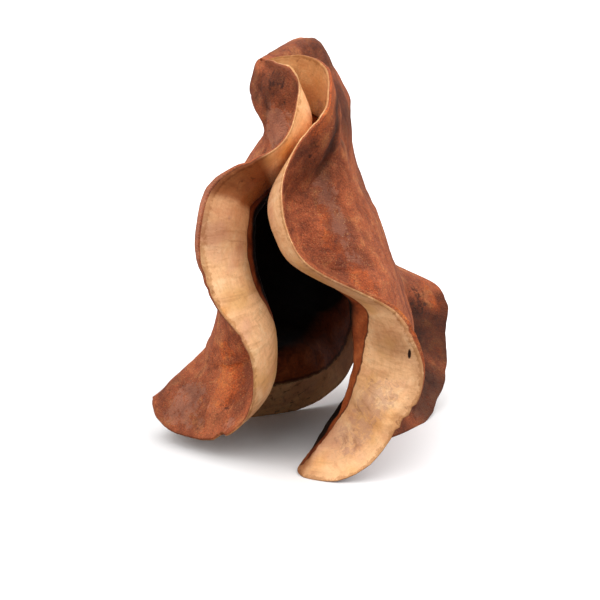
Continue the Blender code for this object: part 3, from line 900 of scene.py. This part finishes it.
def spot_stains(points, spots):
    """Four strengths at each point: every spot is a soft ball whose edge a noise makes ragged;
    where two of a kind meet, the stronger one counts."""
    ragged = 1.0 + uneven(points, *SPOT_RAGGED)
    found = np.zeros((len(points), 4))
    for x, y, z, radius, kind, strength in spots:
        distance = np.linalg.norm(points - np.array([x, y, z]), axis=-1)
        amount = strength * smooth_step(1.0 - distance * ragged / (SPOT_REACH * radius))
        found[:, kind] = np.maximum(found[:, kind], amount)
    return found


def lined_lengths(side):
    """Millimetres from the border of the lining towards the rim, squeezed on the bare side."""
    length = ACROSS_LENGTH * (ACROSS[:, None] - lining_edge(side))
    squeeze = np.where(length < 0, np.interp(TURNS, *BARE_SQUEEZE[side]), 1.0)
    return (length * squeeze).ravel()


def point_values():
    """The stored values, for every point in the order of all_points: four skins, two rims."""
    rim_count = (RIM_STEPS - 1) * STATIONS
    turn_grid, across_grid = (grid.ravel() for grid in np.meshgrid(np.radians(TURNS), ACROSS))
    rim_turns = np.tile(np.radians(TURNS), RIM_STEPS - 1)
    turns = np.concatenate([turn_grid] * 4 + [rim_turns] * 2)
    across = np.concatenate([across_grid] * 4 + [np.ones(rim_count)] * 2)
    grain = np.stack([GRAIN_RADIUS * np.cos(turns), GRAIN_RADIUS * np.sin(turns),
                      ACROSS_LENGTH * across], axis=-1)
    heights = np.concatenate([relief[key].ravel() for key in SKINS] + [np.zeros(rim_count)] * 2)
    places = from_origin(all_points)
    stain = spot_stains(places, HUSK_SPOTS)
    lined = np.full(len(all_points), ACROSS_LENGTH)
    bands = {key: band_stains(key) for key in SKINS}
    for order, key in enumerate(SKINS):
        part = slice(order * len(across_grid), (order + 1) * len(across_grid))
        if key[1] == "inner":
            stain[part] = spot_stains(places[part], LINING_SPOTS)
            lined[part] = lined_lengths(key[0])
        stain[part] = np.maximum(stain[part], bands[key])
    rows = [bands[side, name][-STATIONS:] for side in (LEFT, RIGHT)
            for name in ["outer"] * (RIM_STEPS - 1 - LINING_ROWS) + ["inner"] * LINING_ROWS]
    stain[-2 * rim_count:] = np.concatenate(rows)
    return {"across": across, "grain": grain, "relief": heights, "lined": lined,
            "stain": stain[:, :3], "painted_shade": stain[:, 3]}


stored = point_values()
print("stored with each point:", ", ".join(stored))

# %% [markdown]
# ## Filling the mesh and wearing its feet flat
#
# The pod stands on three low lobes, and handling has worn them flat. The fine mesh dips a
# little below the table there, so it is cut at the table's height and the cuts are filled, just
# as one would rub a wobbly thing on sandpaper until it stands.

# %% The mesh
def fill_mesh():
    """Mesh of all points and squares; a square at the crown has two equal corners and becomes
    a triangle."""
    pole = corners[:, 0] == corners[:, 3]
    other_pole = corners[:, 1] == corners[:, 2]
    plain = ~(pole | other_pole)
    triangles = np.concatenate([corners[pole][:, :3], corners[other_pole][:, [0, 1, 3]]])
    material = np.concatenate([finishes[which] for which in (plain, pole, other_pole)])
    mesh = bpy.data.meshes.new("pod_wood")
    mesh.from_pydata(from_origin(all_points) * MM, [], corners[plain].tolist() + triangles.tolist())
    mesh.polygons.foreach_set("material_index", material.astype(np.int32))
    for name, value in stored.items():
        kind, field = ("FLOAT", "value") if value.ndim == 1 else ("FLOAT_VECTOR", "vector")
        attribute = mesh.attributes.new(name, kind, "POINT")
        attribute.data.foreach_set(field, value.astype(np.float32).ravel())
    return mesh


def wear_feet(mesh):
    """Drop unused points, cut the mesh at the table and fill the flat feet."""
    body = bmesh.new()
    body.from_mesh(mesh)
    loose = [point for point in body.verts if not point.link_faces]
    bmesh.ops.delete(body, geom=loose, context="VERTS")
    bmesh.ops.recalc_face_normals(body, faces=body.faces)
    everything = body.verts[:] + body.edges[:] + body.faces[:]
    cut = bmesh.ops.bisect_plane(body, geom=everything, dist=1e-8, plane_co=(0, 0, 0),
                                 plane_no=(0, 0, 1), clear_inner=True)
    edges = [item for item in cut["geom_cut"] if isinstance(item, bmesh.types.BMEdge)]
    feet = bmesh.ops.holes_fill(body, edges=edges, sides=0)["faces"]
    for foot in feet:
        foot.material_index = RIM
    bmesh.ops.triangulate(body, faces=feet)
    bmesh.ops.recalc_face_normals(body, faces=body.faces)
    open_edges = sum(not edge.is_manifold for edge in body.edges)
    body.to_mesh(mesh)
    body.free()
    return len(feet), open_edges


pod_mesh = fill_mesh()
feet_count, open_edges = wear_feet(pod_mesh)
pod_mesh.shade_smooth()
triangle_count = sum(len(face.vertices) - 2 for face in pod_mesh.polygons)
print(triangle_count, "triangles,", feet_count, "feet,", open_edges, "open edges")

# %% [markdown]
# ## Helpers for materials
#
# A material is a small network of nodes. Building one by hand in the editor is quick but can't
# be read afterwards, so each network is written with small helpers: add a node, do a sum, scale
# a vector, blend two colours, stretch a range, read a noise or a stored value, and make or
# place a group. Colours are given as a painter's hex codes and turned into the linear values
# that light is reckoned in.

# %% Node helpers
def paint(code):
    """Linear colour of a hex code: each channel is undone from its display curve."""
    values = np.array([int(code[i:i + 2], 16) / 255 for i in (1, 3, 5)])
    linear = np.where(values <= 0.04045, values / 12.92, ((values + 0.055) / 1.055) ** 2.4)
    return (*linear.tolist(), 1.0)


def feed(tree, socket, source):
    """Link a socket to another node's output, or set its value or its hex code."""
    if isinstance(source, bpy.types.NodeSocket):
        tree.links.new(source, socket)
    else:
        socket.default_value = paint(source) if isinstance(source, str) else source


def add(tree, kind, inputs=None, **settings):
    """A new node with its settings and inputs."""
    node = tree.nodes.new(kind)
    for name, value in settings.items():
        setattr(node, name, value)
    for name, source in (inputs or {}).items():
        feed(tree, node.inputs[name], source)
    return node


def math(tree, operation, first, second=0.0):
    return add(tree, "ShaderNodeMath", {0: first, 1: second}, operation=operation).outputs[0]


def scaled(tree, vector, factors):
    node = add(tree, "ShaderNodeVectorMath", {0: vector, 1: factors}, operation="MULTIPLY")
    return node.outputs[0]


def blend(tree, amount, first, second, how="MIX"):
    """Colour between two colours; how may also be a blend such as MULTIPLY."""
    node = add(tree, "ShaderNodeMix", {0: amount, 6: first, 7: second}, data_type="RGBA",
               blend_type=how)
    return node.outputs[2]


def lay(tree, colour, *coats):
    """Thin coats over a colour, one after another: a mask, how well it covers, and a colour."""
    for mask, cover, coat in coats:
        colour = blend(tree, math(tree, "MULTIPLY", mask, cover), colour, coat)
    return colour


def stretch(tree, value, low, high):
    """The range low to high of a value, stretched by an S curve over 0 to 1."""
    node = add(tree, "ShaderNodeMapRange", {"Value": value, "From Min": low, "From Max": high},
               interpolation_type="SMOOTHSTEP")
    return node.outputs["Result"]


def clouds(tree, vector, scale, detail=3.0, roughness=0.55, distortion=0.0):
    """Noise from 0 to 1 with so many layers of detail."""
    node = add(tree, "ShaderNodeTexNoise",
               {"Vector": vector, "Scale": scale, "Detail": detail, "Roughness": roughness,
                "Distortion": distortion})
    return node.outputs["Fac"]


def shade(tree, colour, amount):
    """The colour times an amount, which may be above 1."""
    node = add(tree, "ShaderNodeVectorMath", {0: colour, "Scale": amount}, operation="SCALE")
    return node.outputs[0]


def stored_value(tree, name, output="Fac"):
    return add(tree, "ShaderNodeAttribute", attribute_name=name).outputs[output]


def new_group(name, inputs, outputs):
    """A node group with named inputs and outputs; returns its tree, inputs and outputs."""
    tree = bpy.data.node_groups.new(name, "ShaderNodeTree")
    kinds = {"vector": "NodeSocketVector", "colour": "NodeSocketColor", "value": "NodeSocketFloat"}
    for way, sockets in (("INPUT", inputs), ("OUTPUT", outputs)):
        for socket_name, kind in sockets.items():
            tree.interface.new_socket(socket_name, in_out=way, socket_type=kinds[kind])
    entry = tree.nodes.new("NodeGroupInput")
    end = tree.nodes.new("NodeGroupOutput")
    return tree, entry.outputs, end.inputs


def use_group(tree, group, inputs):
    """A group placed in a material with its own values; returns its outputs."""
    return add(tree, "ShaderNodeGroup", inputs, node_tree=group).outputs


# %% [markdown]
# ## Effects that several finishes share
#
# Looking closely at the pod, the same few things happen on the husk, the lining and the rim:
# colour gathers in mottled patches, fibres run through the wood, small specks lie on it, and
# the edges are worn. Each is a node group, built once and placed in each material with its own
# scale and colours.

# %% Mottled wood
def make_mottle():
    """Three colours spread by a coarse noise, from dark over middle to light, times a fine noise
    that makes single grains darker or lighter by up to Grain Depth."""
    tree, entry, end = new_group(
        "mottled wood",
        {"Vector": "vector", "Patch Scale": "value", "Grain Scale": "value", "Grain Depth": "value",
         "Dark": "colour", "Middle": "colour", "Light": "colour"},
        {"Color": "colour", "Patches": "value", "Height": "value"})
    patches = clouds(tree, entry["Vector"], entry["Patch Scale"], 6.0, 0.66, 0.6)
    grains = clouds(tree, entry["Vector"], entry["Grain Scale"], 3.0, 0.65)
    colour = blend(tree, stretch(tree, patches, 0.34, 0.50), entry["Dark"], entry["Middle"])
    colour = blend(tree, stretch(tree, patches, 0.50, 0.66), colour, entry["Light"])
    lift = math(tree, "MULTIPLY", math(tree, "SUBTRACT", grains, 0.5), 5.0)
    lift = math(tree, "MULTIPLY", lift, entry["Grain Depth"])
    lift = math(tree, "MAXIMUM", math(tree, "ADD", lift, 1.0), 0.2)
    feed(tree, end["Color"], shade(tree, colour, lift))
    feed(tree, end["Patches"], patches)
    feed(tree, end["Height"], grains)
    return tree


# %% Dry fibres
def make_fibres():
    """Thin streaks: a noise on a vector that is squeezed along the fibre, kept only where it is
    high."""
    tree, entry, end = new_group(
        "dry fibres", {"Vector": "vector", "Squeeze": "vector", "Scale": "value"},
        {"Fibres": "value", "Height": "value"})
    vector = scaled(tree, entry["Vector"], entry["Squeeze"])
    streaks = clouds(tree, vector, entry["Scale"], 4.0, 0.6, 0.15)
    feed(tree, end["Fibres"], stretch(tree, streaks, 0.48, 0.68))
    feed(tree, end["Height"], streaks)
    return tree


# %% Specks
def make_specks():
    """Small dots round scattered points, thinned out by a noise so that they come in swarms."""
    tree, entry, end = new_group(
        "specks", {"Vector": "vector", "Scale": "value", "Size": "value", "Thin": "value"},
        {"Specks": "value"})
    cells = add(tree, "ShaderNodeTexVoronoi", {"Vector": entry["Vector"], "Scale": entry["Scale"]})
    dots = stretch(tree, cells.outputs["Distance"], entry["Size"], 0.0)
    swarm = clouds(tree, entry["Vector"], math(tree, "MULTIPLY", entry["Scale"], 0.17), 2.0)
    swarm = stretch(tree, swarm, entry["Thin"], math(tree, "ADD", entry["Thin"], 0.12))
    feed(tree, end["Specks"], math(tree, "MULTIPLY", dots, swarm))
    return tree


# %% Worn edge
def make_edge_wear():
    """1 at the rim, falling to 0 over a width, with a border that a noise makes ragged."""
    tree, entry, end = new_group(
        "worn edge", {"Vector": "vector", "Across": "value", "Width": "value", "Ragged": "value"},
        {"Edge": "value"})
    ragged = math(tree, "SUBTRACT", clouds(tree, entry["Vector"], 1.4, 4.0, 0.65), 0.5)
    ragged = math(tree, "MULTIPLY", ragged, entry["Ragged"])
    inside = math(tree, "ADD", math(tree, "SUBTRACT", 1.0, entry["Across"]), ragged)
    feed(tree, end["Edge"], stretch(tree, inside, entry["Width"], 0.0))
    return tree


MOTTLE = make_mottle()
FIBRES = make_fibres()
SPECKS = make_specks()
EDGE_WEAR = make_edge_wear()
print("shared effects:", ", ".join(group.name for group in (MOTTLE, FIBRES, SPECKS, EDGE_WEAR)))


# %% Places on the wood
def ragged(tree, stain, noise_value):
    """A stained share of the wood: 1 where a noise is above a threshold that falls as the
    stored stain grows, so a stain breaks up into a network towards its edge."""
    threshold = math(tree, "SUBTRACT", 0.70, math(tree, "MULTIPLY", stain, 0.42))
    return stretch(tree, noise_value, threshold, math(tree, "ADD", threshold, 0.12))


def new_wood(name):
    """A material with a dull shader, and the vectors and stored values that finishes read."""
    material = bpy.data.materials.new(name)
    material.use_nodes = True
    tree = material.node_tree
    shader = tree.nodes["Principled BSDF"]
    shader.inputs["Specular IOR Level"].default_value = 0.22
    place = add(tree, "ShaderNodeTexCoord").outputs["Object"]
    place = scaled(tree, place, (1000.0, 1000.0, 1000.0))
    stain = add(tree, "ShaderNodeSeparateXYZ", {0: stored_value(tree, "stain", "Vector")}).outputs
    network = clouds(tree, place, 0.9, 5.0, 0.72, 0.8)
    wood = {"mm": place, "grain": stored_value(tree, "grain", "Vector"), "network": network,
            "glow": stain[EMBER]}
    for value in ("across", "relief", "lined", "painted_shade"):
        wood[value] = stored_value(tree, value)
    for mark, kind in (("soot_and_shade", SOOT_AND_SHADE), ("ember", EMBER), ("ash", ASH)):
        wood[mark] = ragged(tree, stain[kind], network)
    return material, tree, shader, wood


def mottled(tree, wood, patch_scale, grain_scale, grain_depth, dark, middle, light):
    """The mottle, in millimetres."""
    return use_group(tree, MOTTLE, {
        "Vector": wood["mm"], "Patch Scale": patch_scale, "Grain Scale": grain_scale,
        "Grain Depth": grain_depth, "Dark": dark, "Middle": middle, "Light": light})


def worn_edge(tree, wood, width, ragged_by):
    """The worn edge, as a share of the way across."""
    return use_group(tree, EDGE_WEAR, {"Vector": wood["mm"], "Across": wood["across"],
                                       "Width": width, "Ragged": ragged_by})["Edge"]


def dress(tree, shader, colour, grain, least, more, height, depth):
    """Colour, a roughness of least plus more times the grain, and fine relief for the light
    only, so many millimetres deep."""
    feed(tree, shader.inputs["Base Color"], colour)
    feed(tree, shader.inputs["Roughness"],
         math(tree, "ADD", least, math(tree, "MULTIPLY", grain, more)))
    node = add(tree, "ShaderNodeBump", {"Strength": 1.0, "Distance": depth * MM, "Height": height})
    feed(tree, shader.inputs["Normal"], node.outputs["Normal"])


# %% [markdown]
# ## The husk
#
# The outside is weathered bark-like skin: red-brown, with orange patches where the top layer
# has rubbed off, painted shade in its folds and pits, and a grey bloom of dust in the grooves.
# One noise can't do all that. The base is the mottle; the stored relief paints shade into the
# hollows and warms the heights; then the stains and the painted shade go over it.

# %% Husk material
def husk_material():
    material, tree, shader, wood = new_wood("husk")
    mottle = mottled(tree, wood, 0.34, 4.6, 0.42, "#944A2C", "#B45E38", "#CA7A4A")
    fibres = use_group(tree, FIBRES, {
        "Vector": wood["grain"], "Squeeze": (1.0, 1.0, 0.30), "Scale": 1.6})
    pale = use_group(tree, SPECKS, {"Vector": wood["mm"], "Scale": 3.0, "Size": 0.34, "Thin": 0.42})
    dark = use_group(tree, SPECKS, {"Vector": wood["grain"], "Scale": 1.4, "Size": 0.30, "Thin": 0.50})
    # Painted shade: the hollows of the stored relief are darkened, where shade falls into them.
    hollow = stretch(tree, wood["relief"], 0.02, -0.22)
    height = stretch(tree, wood["relief"], 0.04, 0.20)
    rubbed = shade(tree, blend(tree, 1.0, mottle["Color"], "#FFE9B8", "MULTIPLY"), 1.25)
    # The soot coat is partly dark patches of the husk and partly painted shade, on the left valve's top
    # lobe, behind the right valve's lip and on its back lobe; the hollow coat is painted shade.
    colour = lay(tree, mottle["Color"], (fibres["Fibres"], 0.20, "#5A2616"),
                 (wood["ember"], 0.85, rubbed), (wood["ash"], 0.55, "#C4866C"),
                 (height, 0.22, "#C07850"), (hollow, 0.48, "#46201A"),
                 (wood["soot_and_shade"], 0.80, "#3E1A11"), (dark["Specks"], 0.55, "#3A180F"),
                 (pale["Specks"], 0.55, "#E0A468"),
                 (worn_edge(tree, wood, 0.02, 0.03), 0.20, "#6E3418"))
    # Painted shade: the soft shade mark darkens the husk in its folds, under its lobes and on its
    # sheltered back, where shade falls.
    colour = blend(tree, wood["painted_shade"], colour, "#7E766C", "MULTIPLY")
    rough = math(tree, "ADD", mottle["Height"], math(tree, "MULTIPLY", fibres["Height"], 0.6))
    dress(tree, shader, colour, mottle["Height"], 0.38, 0.30, rough, 0.22)
    return material


# %% [markdown]
# ## The lining and the seed chamber
#
# Inside, the margin is covered with a smooth pale layer, cream where it is clean and golden
# where it is bruised, with fine fibres and dark specks. It ends in a ragged line. Behind that
# lies a strip of bare red-brown wood, and then the chamber where the seeds were: dark brown
# wood, painted almost black for the shade that fills it. All three are one skin of the mesh,
# so one material changes from one to the next by the way across.

# %% Lining material
SLOT_PLACE = (13.6, -22.6, 17.8)   # an insect's exit slot in the right valve's lining


def slot_mask(tree, place):
    """A dark slit, four times as high as it is wide: 1 inside an ellipsoid round its place."""
    away_from = add(tree, "ShaderNodeVectorMath", {0: place, 1: SLOT_PLACE}, operation="SUBTRACT")
    flat = scaled(tree, away_from.outputs[0], (3.3, 0.4, 0.85))
    length = add(tree, "ShaderNodeVectorMath", {0: flat}, operation="LENGTH").outputs["Value"]
    return stretch(tree, length, 0.75, 0.45)


def lining_material():
    material, tree, shader, wood = new_wood("lining")
    tan = mottled(tree, wood, 0.30, 2.8, 0.07, "#E8AC7A", "#F6C08C", "#FCD09E")
    along = use_group(tree, FIBRES, {
        "Vector": wood["grain"], "Squeeze": (1.0, 1.0, 4.0), "Scale": 0.55})
    over = use_group(tree, FIBRES, {
        "Vector": wood["grain"], "Squeeze": (1.0, 1.0, 0.22), "Scale": 1.3})
    specks = use_group(tree, SPECKS, {"Vector": wood["mm"], "Scale": 1.9, "Size": 0.18, "Thin": 0.50})
    blush = clouds(tree, wood["mm"], 0.16, 2.0)
    colour = lay(tree, tan["Color"], (stretch(tree, blush, 0.52, 0.70), 0.5, "#DDA083"),
                 (stretch(tree, blush, 0.46, 0.30), 0.5, "#E4AC62"),
                 (along["Fibres"], 0.24, "#C08A58"), (over["Fibres"], 0.36, "#B67C4C"))
    golden = blend(tree, 1.0, colour, "#F4DCA6", "MULTIPLY")
    # Where the ash lies, dark streaks follow the fibres; on the right valve's tongue they also paint
    # the shade of a shallow hollow.
    streaks = math(tree, "MULTIPLY", wood["ash"], over["Fibres"])
    # On the lining the soot coat is partly small dark marks and partly painted shade: on the right
    # valve's upper face behind the left valve's top lobe and low on the left valve's back inner margin.
    colour = lay(tree, colour, (wood["glow"], 1.0, golden), (wood["ash"], 0.45, "#C79480"),
                 (streaks, 0.50, "#A06C3C"), (wood["soot_and_shade"], 0.60, "#7A4424"),
                 (specks["Specks"], 0.60, "#7C4626"))

    bare = mottled(tree, wood, 0.40, 2.8, 0.20, "#78361A", "#984A24", "#B06034")
    # The chamber is dark brown wood; its near-black colours paint in the shade that fills it.
    chamber = mottled(tree, wood, 0.25, 2.0, 0.25, "#090403", "#100705", "#180B07")
    jog = math(tree, "MULTIPLY", math(tree, "SUBTRACT", wood["network"], 0.5), 0.5)
    lined = math(tree, "ADD", wood["lined"], jog)
    line = math(tree, "MULTIPLY", stretch(tree, lined, -0.34, -0.16), stretch(tree, lined, 0.10, -0.04))
    inside = blend(tree, stretch(tree, lined, -1.5, -3.2), bare["Color"], chamber["Color"])
    colour = blend(tree, stretch(tree, lined, 0.02, -0.16), colour, inside)
    colour = lay(tree, colour, (line, 0.7, "#3A1A0E"),
                 (worn_edge(tree, wood, 0.012, 0.06), 0.50, "#A8682F"))
    # Painted shade: the soft shade mark darkens the lining under the left valve's upper lobe, along its
    # inner border and on the back inner margins, where shade falls.
    colour = blend(tree, wood["painted_shade"], colour, "#93694B", "MULTIPLY")
    slot = slot_mask(tree, wood["mm"])
    colour = blend(tree, slot, colour, "#2A120A")
    rough = math(tree, "ADD", tan["Height"], math(tree, "MULTIPLY", over["Height"], 0.7))
    rough = math(tree, "SUBTRACT", rough, math(tree, "MULTIPLY", slot, 3.0))
    dress(tree, shader, colour, tan["Height"], 0.46, 0.20, rough, 0.07)
    return material


# %% [markdown]
# ## The rim
#
# The broken edge of the wall shows the wood between husk and lining: dark brown, a little
# crumbly, rubbed orange where it stands proud.

# %% Rim material
def rim_material():
    material, tree, shader, wood = new_wood("rim")
    mottle = mottled(tree, wood, 0.55, 2.4, 0.20, "#7A4020", "#9C5C34", "#C68A56")
    colour = lay(tree, mottle["Color"], (wood["ember"], 0.8, "#B86828"))
    dress(tree, shader, colour, mottle["Height"], 0.5, 0.2, mottle["Height"], 0.10)
    return material


# %% The finished pod
for make_material in (husk_material, lining_material, rim_material):
    pod_mesh.materials.append(make_material())
pod = put("pod_wood", pod_mesh)
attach(pod, "root")
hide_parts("pod")
